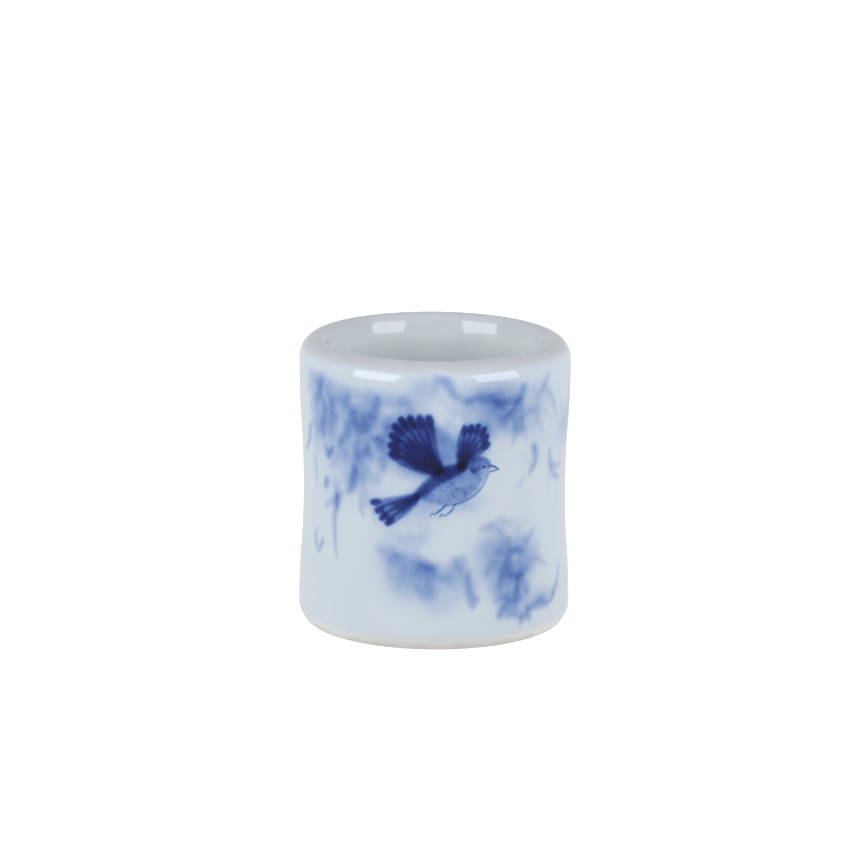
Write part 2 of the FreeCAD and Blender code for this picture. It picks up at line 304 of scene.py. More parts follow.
def leaves(art, seed, tone, centre, spread, count, lean=0.0):
    """Loose, soft leaves around a place, that hang down or lean over by about lean degrees."""
    draw = np.random.default_rng(seed)
    for _ in range(count):
        across, up = np.array(centre) + draw.normal(0, 1, 2) * spread
        turn = math.radians(lean + draw.normal(0, 15))
        reach = draw.uniform(3.5, 7) * np.array([math.sin(turn) / DEGREE, -math.cos(turn)])
        middle = (across + 0.5 * reach[0] + 0.4, up + 0.5 * reach[1])
        leaf = [(across, up), middle, (across + reach[0], up + reach[1])]
        art.stroke(tone * draw.uniform(0.5, 1.4), (0.8, 2.6, 0.9), leaf, soft=2.2)


def paint_sky(art):
    """Pale washes along the top, above and behind the bird."""
    art.blots([
        (0.14, (-59, 83), 7, 6), (0.18, (-50, 81), 9, 7), (0.15, (-52, 72), 8, 8), (0.17, (-39, 78), 8, 8),
        (0.15, (-40, 68), 8, 8), (0.12, (-34, 60), 7, 8), (0.1, (-44, 58), 6, 7), (0.12, (-60, 70), 6, 9),
        (0.2, (-24, 74), 7, 8), (0.22, (-15, 74), 8, 7), (0.14, (-14, 82), 6, 3), (0.18, (-22, 65), 6, 6),
        (0.26, (-8, 67), 8, 4), (0.2, (2, 84), 7, 5), (0.18, (12, 83), 9, 6), (0.2, (24, 82), 9, 7),
        (0.15, (36, 81), 8, 7), (0.12, (32, 73), 8, 6), (0.12, (48, 80), 8, 8), (0.2, (2, 64.6), 7, 3),
        (0.18, (-2, 77), 5, 3), (0.09, (60, 80), 6, 8), (0.08, (45, 68), 7, 6), (0.14, (-33, 82), 9, 5),
        (0.14, (-18, 80), 6, 5), (0.18, (-56, 87), 9, 3), (0.1, (-46, 62), 8, 7), (0.09, (-26, 52), 6, 6),
        (0.05, (66, 55), 9, 22), (0.06, (-66, 50), 9, 22), (0.18, (-40, 87), 9, 3),
        (0.14, (-28, 86), 5, 3), (0.1, (28, 87), 12, 3),
    ])
    art.blots([
        (0.2, (-15.5, 80), 2, 1.6), (0.18, (-13.5, 78), 1.8, 1.6), (0.18, (-11, 76.8), 2, 1.5),
        (0.22, (-17.5, 74.6), 3, 1.6), (0.2, (-14, 72), 2.6, 2.2), (0.24, (-8.5, 68.8), 3, 1.5),
        (0.2, (-24.5, 78), 2.4, 1.4), (0.18, (-22, 71.5), 2.4, 2.2), (0.18, (-26, 68), 2, 2.4),
        (0.16, (-23.5, 65.3), 2.4, 1.8), (0.18, (-5, 80.5), 1.6, 2), (0.14, (-18, 69), 2.4, 1.6),
    ])
    art.strokes([
        (0.22, (2.5, 4, 5, 4), [(-16.5, 75), (-13, 71), (-9, 67.2), (-3, 64.8), (3, 63.6)]),
        (0.3, (3, 5, 5.5, 3.4), [(-13, 72.6), (-9, 70.6), (-4, 69.2), (2, 68), (8, 65.4)]),
        (0.16, (4, 5, 3), [(-4, 76), (0, 72), (1, 68)]),
        (0.16, (3, 4, 3), [(-19, 66), (-15, 68.6), (-10, 70)]),
    ], soft=3.4)
    for place, across, up in (((-7.5, 73.2), 2.6, 1.8), ((10, 63), 1.6, 1.4), ((-20, 80.5), 3, 1.6),
                              ((-44, 74), 1.6, 3.4), ((-36, 82.5), 2.6, 1.6)):
        art.lift(0.55, place, across, up)


def paint_left_willow(art):
    """Trailing willow to the left of the bird."""
    leaves(art, 31, 0.10, (-51, 79), (7, 5), 24)
    leaves(art, 32, 0.10, (-38, 72), (6, 7), 26, lean=-10)
    leaves(art, 33, 0.08, (-27, 68), (5, 6), 20, lean=8)
    leaves(art, 34, 0.08, (-36, 56), (5, 6), 14, lean=-8)
    art.strokes([
        (0.3, (1.2, 3, 3.8, 3.4), [(-26.6, 87.4), (-28.4, 82.6), (-31.4, 78), (-34, 75.8)]),
        (0.14, 4, [(-31.5, 78), (-34.5, 77), (-37, 75.6)]),
        (0.2, (3.2, 3.6, 2.4, 2), [(-32, 77), (-32.6, 74.4), (-30.6, 71), (-30, 67.6)]),
        (0.18, (2, 2.8, 2.8, 2), [(-29.6, 69), (-28, 66), (-27, 62.6), (-27.2, 59)]),
        (0.22, 3, [(-27, 59.6), (-27.6, 56.6), (-28.6, 53.4), (-31, 50.6)]),
        (0.2, 2.2, [(-34.6, 51), (-34.4, 48), (-33.4, 44.4)]),
        (0.18, (1.2, 3.8, 3.4, 1.4), [(-38.2, 73.6), (-39.2, 71.6), (-40.6, 69.6), (-42.4, 67.6)]),
        (0.2, 2.8, [(-36.8, 69.6), (-37.6, 67.6), (-38.4, 65.6)]),
        (0.18, 2.8, [(-32.4, 66.6), (-34.2, 64.4), (-36, 62), (-38.6, 59.4)]),
        (0.17, 3, [(-34.4, 58.6), (-35.6, 55.6), (-37, 52.8), (-39.4, 50)]),
        (0.12, 1.8, [(-27.4, 52.6), (-25.6, 49.4), (-24, 46)]),
        (0.2, 3.2, [(-51.6, 82.6), (-52.6, 79.6), (-53.6, 76), (-54, 72.4)]),
    ], soft=2.6)
    art.strokes([
        (0.22, 3.2, [(-59, 88), (-60.6, 84.6), (-62.4, 81), (-64.4, 77)]),
        (0.14, (1.4, 2.6, 1.8, 0.8), [(-63, 79.3), (-65.5, 77.2), (-69, 75.3), (-73.5, 73.8)]),
        (0.1, 1.6, [(-64, 86), (-69, 83.5), (-75, 81.5)]),
        (0.32, 2.2, [(-63.2, 65), (-64.8, 61.6), (-67.4, 58.6), (-71.5, 56)]),
        (0.18, 1.5, [(-61.8, 63), (-60.8, 58.5), (-59.5, 53)]),
        (0.28, (1.4, 2.8, 2.4, 1.8, 1.2),
         [(-44.6, 48), (-47.4, 44.3), (-48.4, 40), (-47.6, 34), (-46, 27.6)]),
        (0.24, (1.8, 2, 1.4), [(-48, 45), (-53, 42), (-58, 40)]),
        (0.28, 2, [(-58.5, 39.8), (-60.3, 37), (-59.2, 34.8), (-57, 32.6)]),
        (0.08, 1.2, [(-64, 31), (-61.5, 26.5), (-57.5, 24)]),
        (0.12, 2.4, [(-44.4, 48.4), (-42.5, 51.5), (-40.5, 54)]),
    ], soft=2.2)
    art.strokes([
        (0.4, 2.4, [(-54, 67), (-55.7, 65.3), (-57.3, 63.6)]),
        (0.24, 2, [(-51.2, 66), (-51.3, 64), (-50.8, 62)]),
        (0.36, 2.1, [(-52.2, 51.8), (-53.4, 50.2), (-54.8, 48.6)]),
        (0.28, 2.2, [(-47.3, 52), (-47.6, 50), (-47.2, 48)]),
        (0.34, 2, [(-64.8, 34.6), (-66, 32.8), (-67.2, 30.8)]),
    ], soft=1.7)
    art.blots([
        (0.16, (-51, 84), 2.2, 2.4), (0.16, (-42, 79.6), 2, 1.8), (0.14, (-47, 82), 3, 1.6),
        (0.1, (-55, 71), 2, 1.2), (0.12, (-46, 70), 3, 1.4), (0.14, (-28.6, 81), 1.4, 1.6),
    ])


def paint_right_willow(art):
    """Fronds above and to the right of the bird."""
    leaves(art, 35, 0.09, (8, 82), (5, 4), 14, lean=20)
    leaves(art, 36, 0.11, (28, 79), (7, 4), 22, lean=24)
    leaves(art, 37, 0.07, (47, 78), (6, 6), 14)
    art.strokes([
        (0.24, 3.4, [(3, 89.4), (6, 88.4), (8.6, 86.6), (10.4, 84.4)]),
        (0.26, 3.4, [(10, 85.6), (15, 87), (20, 86), (25, 84.4), (33, 84.6)]),
        (0.14, 2.6, [(4, 84.5), (9, 83.5), (13, 82)]),
        (0.14, 2.8, [(20, 83.6), (23, 81), (27, 77.6)]),
        (0.2, 3, [(27, 77), (31, 76.4), (35.6, 77), (39.5, 79)]),
        (0.2, 2.6, [(40, 79.4), (44, 80), (48, 81.6)]),
        (0.36, (1.2, 2, 2.6, 2.2), [(34, 80.4), (37.6, 82.8), (39.8, 85.6), (41.2, 89)]),
        (0.16, 2.4, [(28.5, 80.2), (34, 79.6), (39, 81.5)]),
        (0.08, 2.4, [(26.5, 75.5), (30, 73.2), (33, 70.4)]),
        (0.08, 2, [(37, 76.6), (39.5, 73.4), (41, 70)]),
    ], soft=2.6)
    art.strokes([
        (0.28, 2.6, [(42.8, 68.6), (43.8, 65.4), (42.8, 62.2), (40.4, 59.6)]),
        (0.16, (1.8, 2.2, 1.4), [(41, 60), (39, 58.4), (37.4, 57.4)]),
        (0.1, 1.6, [(45.5, 66), (48, 63.6), (50.6, 61)]),
        (0.09, 1.6, [(47, 71.5), (50, 69.3), (52.5, 66.8)]),
        (0.2, 2.4, [(59.5, 88), (57, 85), (54, 81.6)]),
        (0.18, 2.2, [(55.6, 83), (60, 80.4), (63, 77), (65, 73)]),
        (0.08, 1.6, [(50, 77.5), (54, 75), (57, 71)]),
        (0.26, 2, [(57.6, 62.6), (60.6, 60), (64, 58), (68.5, 56.6)]),
        (0.26, (1.4, 2.6, 1.8, 0.8), [(56.4, 60.6), (57.4, 57), (61, 54.6), (69, 54)]),
        (0.08, (1.6, 2, 1), [(59.5, 54), (59.5, 50), (58, 46)]),
        (0.06, 1.4, [(62, 51), (63.5, 47), (64.5, 43)]),
        (0.12, 1.6, [(66, 86), (69, 82), (71.5, 77)]),
    ], soft=2.2)
    art.blots([
        (0.14, (25, 84), 2.4, 1.6), (0.14, (33, 77), 2.4, 1.1), (0.12, (45, 80), 1.8, 1),
        (0.12, (6, 88), 2.6, 1.6), (0.08, (13.5, 82), 1.8, 2),
    ])


def paint_ground(art):
    """The wash of ground under the bird."""
    art.blots([
        (0.16, (-14, 28), 8, 7), (0.18, (-4, 25), 9, 7), (0.14, (8, 28), 8, 6), (0.16, (-13, 37), 7, 4),
        (0.12, (3, 19), 7, 4), (0.2, (16, 35), 7, 5), (0.12, (-4, 40), 6, 4), (0.08, (14, 22), 6, 5),
        (0.1, (-17, 20), 4, 5), (0.12, (-6, 19), 4, 4), (0.06, (-20, 28), 6, 8), (0.08, (11, 25), 6, 6),
    ])
    leaves(art, 38, 0.08, (-4, 29), (9, 3), 24, lean=50)
    art.strokes([
        (0.18, 5.5, [(-17.5, 33.4), (-12, 30.6), (-6, 28.4), (1, 26.8), (7, 28.6)]),
        (0.2, 4, [(5, 28), (8, 30), (9.6, 32.8)]),
    ], soft=3.6)
    art.blots([
        (0.2, (-15.5, 32.4), 2.6, 1.7), (0.24, (-7, 28.6), 2.8, 1.7), (0.16, (1, 27.2), 3, 1.6),
        (0.18, (-2.6, 18.4), 2.3, 2), (0.12, (-10, 23.5), 2.4, 2.4), (0.1, (11.5, 27.3), 1.6, 1.2),
        (0.12, (-5, 22.5), 2.4, 2), (0.1, (8.8, 30.8), 1.8, 1.8), (0.1, (4, 24.6), 2.4, 1.4),
    ])
    art.lift(0.45, (1.5, 31.6), 4.4, 2)
    art.lift(0.45, (-12, 41), 5.5, 1.8)


def paint_rock_plants(art):
    """Leaves and twigs at the lower right."""
    art.blots([
        (0.2, (30, 34), 8, 6), (0.26, (37, 28), 8, 7), (0.12, (24, 37), 5, 4), (0.22, (36, 17), 8, 6),
        (0.12, (45, 30), 5, 6), (0.1, (33, 39), 6, 3), (0.2, (26, 26), 5, 6), (0.14, (50, 14), 8, 4),
    ])
    leaves(art, 39, 0.08, (34, 32), (7, 6), 26, lean=-10)
    leaves(art, 40, 0.08, (36, 19), (5, 4), 14, lean=10)
    art.strokes([
        (0.16, 2.8, [(20.5, 38.2), (24, 38.6), (28, 37.8), (30.5, 36)]),
        (0.14, 2.4, [(24, 41), (29, 42.2), (34, 41)]),
        (0.22, (1.8, 2.4, 2.4, 1.4), [(30, 37), (28.3, 34.6), (25.3, 31.6), (21.5, 27)]),
        (0.14, 2.4, [(31, 41), (35, 38.8), (37.5, 35.8), (41, 34.3)]),
        (0.17, (1.6, 2.8, 3.4, 2.8), [(31, 37), (30.8, 33), (31, 29), (31.8, 24.5)]),
        (0.22, (2.4, 3.2, 2.4, 1.2), [(31.5, 26.4), (35, 25.6), (39, 26.4), (42, 28)]),
        (0.22, 2.8, [(38.2, 31.4), (42, 31.4), (45.2, 33), (50, 37)]),
        (0.18, (1.6, 1.6, 1.4), [(44.8, 31.4), (48.5, 29.4), (52, 28)]),
        (0.3, (1.2, 1.4, 2.2, 2.9, 2), [(20, 28.5), (20, 25.5), (20.6, 22), (21.4, 19.4), (21.8, 16.6)]),
        (0.14, 2, [(28, 25), (25.3, 23.6), (23.8, 21.8)]),
        (0.26, (1.8, 3, 2.4), [(32.6, 24), (33, 20), (33, 16.6)]),
        (0.22, 2.4, [(30.3, 16.8), (33.6, 18), (37.5, 15.6), (41, 12.8)]),
        (0.24, 2.4, [(30.6, 15.6), (33.5, 14), (37.5, 12.4), (42, 12)]),
        (0.32, (1.4, 2.4, 2), [(30.5, 14.8), (29, 12.8), (27.6, 10.8)]),
        (0.28, 2.6, [(40.6, 22.5), (41.6, 20.2), (42.6, 18.2), (43.4, 16.6)]),
        (0.1, 1.6, [(38.5, 18.6), (41, 18.3), (44.5, 17.6)]),
        (0.28, (2.2, 2.8, 3, 2.4, 1.8), [(42, 12), (46.5, 12.2), (51, 12), (56, 12.2), (60, 13.4)]),
        (0.24, (2, 2.2, 2, 1), [(58.5, 13), (62, 15), (64.6, 18.6), (66.4, 23)]),
        (0.08, 1.4, [(60, 12.6), (66, 13), (72, 13.4)]),
        (0.24, 2.2, [(35.4, 11.4), (35.2, 9.2), (34, 7)]),
        (0.28, 2.6, [(40, 11.6), (40.6, 9.4), (41.4, 7)]),
    ], soft=2.2)
    art.blots([
        (0.14, (31.6, 28.8), 1.8, 2.8), (0.14, (37, 26), 2.6, 1.4), (0.18, (43, 31.6), 2, 1.3),
        (0.24, (21.6, 18), 1, 1.5), (0.18, (41, 12.4), 1.5, 1.1), (0.34, (50.6, 12.2), 2.8, 1.3, -4),
        (0.18, (52, 28), 1.2, 1), (0.14, (33.5, 17.6), 1.8, 1.1), (0.12, (43, 17.2), 1, 1.2),
        (0.12, (31.5, 22), 1.8, 1.6), (0.1, (61, 14.2), 1.8, 1.2),
    ])
    art.lift(0.4, (36.5, 30), 1.5, 1.2)
    art.lift(0.35, (27, 31), 1.6, 1.4)


def toward(root, turn, reach):
    """The point at reach millimetres from a root, in a direction given in degrees."""
    angle = math.radians(turn)
    return root[0] + reach * math.cos(angle) / DEGREE, root[1] + reach * math.sin(angle)


def fan(art, root, turns, reaches, count, wide):
    """Feathers spread from a root, each with a darker round tip and a thin edge line."""
    for share in np.linspace(0, 1, count):
        turn = np.interp(share, (0, 1), turns)
        reach = np.interp(share, np.linspace(0, 1, len(reaches)), reaches)
        bow = turn + 4
        line = [toward(root, turn, 0.1 * reach), toward(root, bow, 0.55 * reach), toward(root, turn, reach)]
        art.stroke(0.46, (0.7 * wide, wide, 0.8 * wide), line, soft=1.2)
        tip = [toward(root, turn, part * reach) for part in (0.86, 0.93, 1)]
        art.stroke(0.55, (0.5 * wide, 0.8 * wide, 0.6 * wide), tip, soft=0.9)
        edge = [toward(root, bow + 3, part * reach) for part in (0.3, 0.6, 0.88)]
        art.stroke(0.3, (0.3, 0.3), edge, soft=0.6)


def paint_bird(art, lines):
    """A plain songbird flying to the right with both wings raised."""
    art.blots([(0.18, (4, 66), 12, 5), (0.16, (-4, 48), 8, 4), (0.14, (14, 50), 6, 4)])
    art.patch(0.32, [
        (-8, 53.6), (0, 59), (8, 62), (15, 62.4), (20, 59.6), (19.4, 55), (13, 51.2), (4, 49.6),
        (-4, 50.6),
    ], soft=2.2)
    art.patch(0.55, [
        (-9, 53.4), (-2, 59.4), (6, 63.2), (14, 63.4), (12, 60.4), (3, 57), (-5, 52.4),
    ], soft=1.6)
    art.patch(0.5, [
        (15, 62), (16.4, 64.6), (20, 65.6), (23.6, 64.4), (24.8, 61.8), (21, 61.4), (17, 60),
    ], soft=1)
    art.patch(0.24, [
        (16, 60.6), (20, 61.6), (24.4, 61.4), (23.4, 58.6), (19.6, 56.8),
    ], soft=1.4)
    fan(art, (10.5, 60.5), (84, 44), (15, 17, 13), 6, 2.8)
    fan(art, (3, 59.5), (158, 102), (18, 23, 20), 8, 3.4)
    fan(art, (-6, 53), (193, 222), (17, 15), 4, 3)
    art.blots([(0.4, (3, 61), 3.4, 2.4), (0.36, (-6, 53), 2.6, 1.8), (0.36, (11, 62), 2.6, 1.8)])
    draw = np.random.default_rng(17)
    for _ in range(40):
        across, up = draw.normal(0, 1, 2) * (4, 1.8) + (11, 54.6)
        art.stroke(0.2, (0.3, 0.5, 0.3), [(across - 0.7, up + 0.4), (across + 0.6, up - 0.3)], soft=0.6)
    art.lift(0.5, (21.6, 62), 0.8, 0.8)
    lines.blot(0.95, (21.6, 62), 0.45, 0.45)
    lines.strokes([
        (0.7, 0.7, [(24.2, 62.6), (26.4, 61.8), (28.2, 60.6)]),
        (0.6, 0.5, [(28.2, 60.6), (26, 60.4), (23.8, 60.2)]),
        (0.5, 0.5, [(23.6, 59.4), (21.4, 56), (17, 52.4), (11, 50.4), (4, 49.4)]),
        (0.5, 0.8, [(5, 49.8), (2.6, 47.6), (0.4, 46.4)]),
        (0.5, 0.8, [(9, 50), (7, 47.4), (4.6, 46)]),
        (0.5, 0.5, [(0.4, 46.4), (-0.8, 46.6), (-1.6, 45.8)]),
        (0.5, 0.5, [(4.6, 46), (3.2, 46.2), (2.4, 45.2)]),
    ], soft=0.6)


def paint_back(art):
    """The side away from the bird: willow hanging from the lip in loose fronds, and low grassy banks."""
    draw = np.random.default_rng(11)
    for start, length, lean in (
        (82, 30, 10), (98, 44, -14), (121, 24, 9), (134, 54, -12), (149, 35, 13), (178, 22, 8),
        (200, 45, -15), (213, 27, 12), (240, 56, -9), (254, 34, 11), (271, 24, -9),
    ):
        sway = draw.uniform(-4, 4)
        frond = [(start, 90), (start + 0.2 * lean + sway, 90 - 0.35 * length),
                 (start + 0.6 * lean - 0.4 * sway, 90 - 0.7 * length), (start + lean, 90 - length)]
        art.stroke(0.18, (1.2, 1.6, 1.2, 0.7), frond, soft=1.8, fade=0.10)
        across, up = np.array(frond).T
        side = 1
        for height in np.arange(87, 92 - length, -2.6):
            root = np.interp(height, up[::-1], across[::-1])
            turn = math.radians(side * draw.uniform(3, 30))
            reach = draw.uniform(4.5, 9)
            tip = (root + reach * math.sin(turn) / DEGREE, height - reach * math.cos(turn))
            middle = (0.45 * root + 0.55 * tip[0] + 0.3 * side, 0.5 * (height + tip[1]))
            tone, width, soft = draw.uniform(0.12, 0.34), draw.uniform(1.4, 2.4), draw.uniform(1.4, 2.4)
            art.stroke(tone, (0.6, width, 0.5), [(root, height), middle, tip], soft)
            side = -side
        art.blot(draw.uniform(0.1, 0.26), (start + draw.uniform(-5, 5), draw.uniform(70, 88)),
                 draw.uniform(5, 12), draw.uniform(4, 9))
    for place, height, wide, count in ((107, 24, 12, 16), (166, 29, 8, 10), (225, 20, 13, 20)):
        art.blot(0.15, (place, height), wide, 6)
        art.blot(0.12, (place + 0.7 * wide, height - 4), 0.8 * wide, 4)
        bank = [(-1.7 * wide, -3), (-4, -5), (6, -4), (1.7 * wide, -5)]
        art.stroke(0.15, (1, 3, 3.4, 1), [(place + along, height + up) for along, up in bank], soft=3.4)
        leaves(art, place, 0.13, (place, height + 2), (1.2 * wide, 3), count, lean=draw.uniform(-40, 40))


def painted(degrees, heights):
    """The cobalt density at points of the wall. The washes are soft, and it has all bled into the glaze."""
    washes, bird, lines = Painting(loose=(3.5, 2.2)), Painting(), Painting()
    for paint in (paint_sky, paint_left_willow, paint_right_willow, paint_ground, paint_rock_plants,
                  paint_back):
        paint(washes)
    paint_bird(bird, lines)
    laid = over(over(blurred(washes.density, 0.5), blurred(bird.density, 0.16)), lines.density)
    bled = 0.08 * blurred(laid, 2.0) + 0.24 * blurred(bird.density, 1.0) + 0.22 * blurred(bird.density, 2.6)
    sheet = np.clip(over(laid, bled), 0, 1)
    return between(sheet, degrees * DEGREE / CELL, (heights + BELOW) / CELL)


# ---------------------------------------------------------------- meshes of revolution
LIP_DIP = 0.35  # how much lower the lip is on the right than on the left
OUT_OF_ROUND = 0.0025  # how much narrower the pot is one way than the other
NARROW_AT = math.radians(50)
GLAZE_LINE_WANDERS = 0.22
SHARP = 35  # degrees between two faces from which their edge stays sharp


def columns():
    """Degrees round the pot, 0 at the front: close together where the bird is, wide apart behind."""
    zones = [(-180, -84, 1.55), (-84, -26, 0.95), (-26, 30, 0.33), (30, 84, 0.95), (84, 180, 1.55)]
    parts = [np.linspace(a, b, round((b - a) / step), endpoint=False) for a, b, step in zones]
    return np.concatenate(parts)


def even_columns(count):
    return np.linspace(-180, 180, count, endpoint=False)


def handmade(x, y, z):
    """The slight unevenness of a pot thrown by hand. It only ever takes away from the true shape."""
    angle = np.arctan2(x, -y)
    squeeze = OUT_OF_ROUND * 0.5 * (1 - np.cos(2 * (angle - NARROW_AT))) * smooth(z / 40)
    dip = LIP_DIP * 0.5 * (1 + x / 45) * (z / 96) ** 2
    squeeze += 0.0004
    return x * (1 - squeeze), y * (1 - squeeze), z - dip


def revolved(name, outline, degrees, closed, flow=None):
    """Turns an outline of (radius, height) rows into a mesh. Rows at radius 0 give a ring of points on the
    axis.

    A closed outline is a ring all round; an open one starts and ends on the axis. flow may move each
    row's height by the angle."""
    radius, height = np.repeat(outline[:, :1], len(degrees), 1), np.repeat(outline[:, 1:], len(degrees), 1)
    turn = np.radians(np.broadcast_to(degrees, radius.shape))
    if flow:
        radius, height = flow(radius, height, turn)
    x, y, z = handmade(radius * np.sin(turn), -radius * np.cos(turn), height)
    rows, across = radius.shape
    index = np.arange(rows * across).reshape(rows, across)
    upper = np.roll(index, -1, 0) if closed else index[1:]
    lower = index if closed else index[:-1]
    faces = np.stack([lower, np.roll(lower, -1, 1), np.roll(upper, -1, 1), upper], -1).reshape(-1, 4)
    mesh = bpy.data.meshes.new(name)
    mesh.from_pydata((np.stack([x, y, z], -1).reshape(-1, 3) * MM).tolist(), [], faces.tolist())
    made = bpy.data.objects.new(name, mesh)
    bpy.context.scene.collection.objects.link(made)
    return made, np.broadcast_to(degrees, radius.shape), height


def finished(made):
    """Merges the points on the axis, turns the faces outward and shades them smooth but for sharp edges."""
    work = bmesh.new()
    work.from_mesh(made.data)
    on_axis = [v for v in work.verts if math.hypot(v.co.x, v.co.y) < 1e-6]
    bmesh.ops.remove_doubles(work, verts=on_axis, dist=1e-7)
    bmesh.ops.recalc_face_normals(work, faces=work.faces)
    work.to_mesh(made.data)
    work.free()
    made.data.polygons.foreach_set("use_smooth", [True] * len(made.data.polygons))
    made.data.set_sharp_from_angle(angle=math.radians(SHARP))
    made.data.update()


def add_numbers(made, name, values):
    """Stores a number for each point of a mesh under a name that its material reads."""
    numbers = made.data.attributes.new(name, "FLOAT", "POINT").data
    numbers.foreach_set("value", values.ravel().astype(np.float32))


# ---------------------------------------------------------------- materials
def light(red, green, blue):
    """A colour as the eye reads it, from 0 to 255, turned into the amounts of light that shaders use."""
    return tuple((c / 255) ** 2.2 for c in (red, green, blue)) + (1.0,)


class Shader:
    """A material built one node at a time."""

    def __init__(self, name):
        self.material = bpy.data.materials.new(name)
        self.material.use_nodes = True
        self.tree = self.material.node_tree
        self.tree.nodes.clear()
        self.surface = self.node("BsdfPrincipled")
        output = self.node("OutputMaterial")
        self.tree.links.new(self.surface.outputs[0], output.inputs[0])
        self.place = self.node("TexCoord").outputs["Object"]

    def node(self, kind, **settings):
        made = self.tree.nodes.new("ShaderNode" + kind)
        for name, value in settings.items():
            setattr(made, name, value)
        return made

    def feed(self, socket, value):
        if isinstance(value, bpy.types.NodeSocket):
            self.tree.links.new(value, socket)
        else:
            socket.default_value = value

    def set(self, **values):
        for name, value in values.items():
            self.feed(self.surface.inputs[name.replace("_", " ")], value)

    def noise(self, size, detail=3.0, roughness=0.55):
        """Noise from 0 to 1 whose features are about size millimetres across."""
        made = self.node("TexNoise")
        self.feed(made.inputs["Vector"], self.place)
        made.inputs["Scale"].default_value = 1 / (size * MM)
        made.inputs["Detail"].default_value = detail
        made.inputs["Roughness"].default_value = roughness
        return made.outputs["Fac"]

    def math(self, what, a, b=0.0, clamp=False):
        made = self.node("Math", operation=what, use_clamp=clamp)
        self.feed(made.inputs[0], a)
        self.feed(made.inputs[1], b)
        return made.outputs[0]

    def range(self, value, low, high, to_low=0.0, to_high=1.0, smoothly=True):
        made = self.node("MapRange", interpolation_type="SMOOTHSTEP" if smoothly else "LINEAR")
        for socket, given in zip(made.inputs, (value, low, high, to_low, to_high)):
            self.feed(socket, given)
        return made.outputs[0]

    def mix(self, share, a, b, blend="MIX"):
        made = self.node("Mix", data_type="RGBA", blend_type=blend)
        self.feed(made.inputs["Factor"], share)
        self.feed(made.inputs[6], a)
        self.feed(made.inputs[7], b)
        return made.outputs[2]

    def ramp(self, value, stops):
        made = self.node("ValToRGB")
        self.feed(made.inputs[0], value)
        steps = made.color_ramp.elements
        while len(steps) < len(stops):
            steps.new(0.5)
        for step, (at, colour) in zip(steps, stops):
            step.position = at
            step.color = colour
        return made.outputs[0]

    def dots(self, every, radius, share, soft=0.5):
        """Round specks, one in a share of the cells, which are about every millimetres across."""
        cells = self.node("TexVoronoi")
        self.feed(cells.inputs["Vector"], self.place)
        cells.inputs["Scale"].default_value = 1 / (every * MM)
        pick = self.node("SeparateColor")
        self.feed(pick.inputs[0], cells.outputs["Color"])
        chosen = self.range(pick.outputs[0], share, share - 0.001)
        edge = radius / every
        return self.math("MULTIPLY", self.range(cells.outputs["Distance"], edge, edge * soft), chosen)

    def number(self, name):
        return self.node("Attribute", attribute_name=name).outputs["Fac"]

    def height(self):
        """Height above the foot, in millimetres."""
        split = self.node("SeparateXYZ")
        self.feed(split.inputs[0], self.place)
        return self.math("MULTIPLY", split.outputs[2], 1 / MM)

    def bump(self, height, depth, under=None):
        made = self.node("Bump")
        made.inputs["Distance"].default_value = depth * MM
        self.feed(made.inputs["Height"], height)
        if under:
            self.feed(made.inputs["Normal"], under)
        return made.outputs[0]


COOL_GLAZE = light(218, 230, 239)
# Painted shade: the glaze at the lip is darker and greyer, standing in for the dimmer light that falls on
# the lip from above.
SHADED_LIP_GLAZE = light(211, 215, 221)
# Painted bounce light: the glaze down in the bore is lighter and faintly green, its own faint tint lifted
# to stand in for light bounced round inside it.
BOUNCE_LIT_BORE_GLAZE = light(230, 238, 238)
BISCUIT_CREAM = light(246, 245, 243)
COBALT = [
    (0.00, light(223, 233, 242)),
    (0.12, light(204, 218, 238)),
    (0.28, light(170, 192, 227)),
    (0.45, light(130, 160, 214)),
    (0.62, light(90, 122, 192)),
    (0.76, light(56, 78, 154)),
    (0.88, light(30, 42, 114)),
    (1.00, light(6, 8, 44)),
]


def gloss(shader, wobble):
    """The finish of a fired glaze: glossy, a little uneven, with a faint orange-peel surface."""
    shader.set(Roughness=shader.range(shader.noise(5), 0.3, 0.7, 0.03, 0.06))
    ripple = shader.bump(shader.noise(7, detail=1), wobble)
    shader.set(Normal=shader.bump(shader.noise(0.5, detail=2), wobble * 0.02, under=ripple))
    shader.set(**{"Specular IOR Level": 0.5, "IOR": 1.5})


def blemishes(shader, colour):
    """Kiln specks and pinholes that any glaze like this has."""
    brown = shader.dots(7, 0.16, 0.10)
    colour = shader.mix(shader.math("MULTIPLY", brown, 0.55), colour, light(120, 100, 86))
    grey = shader.dots(4.3, 0.10, 0.12)
    colour = shader.mix(shader.math("MULTIPLY", grey, 0.35), colour, light(130, 138, 150))
    bubble = shader.dots(3.1, 0.14, 0.05)
    return shader.mix(shader.math("MULTIPLY", bubble, 0.5), colour, light(240, 244, 248))


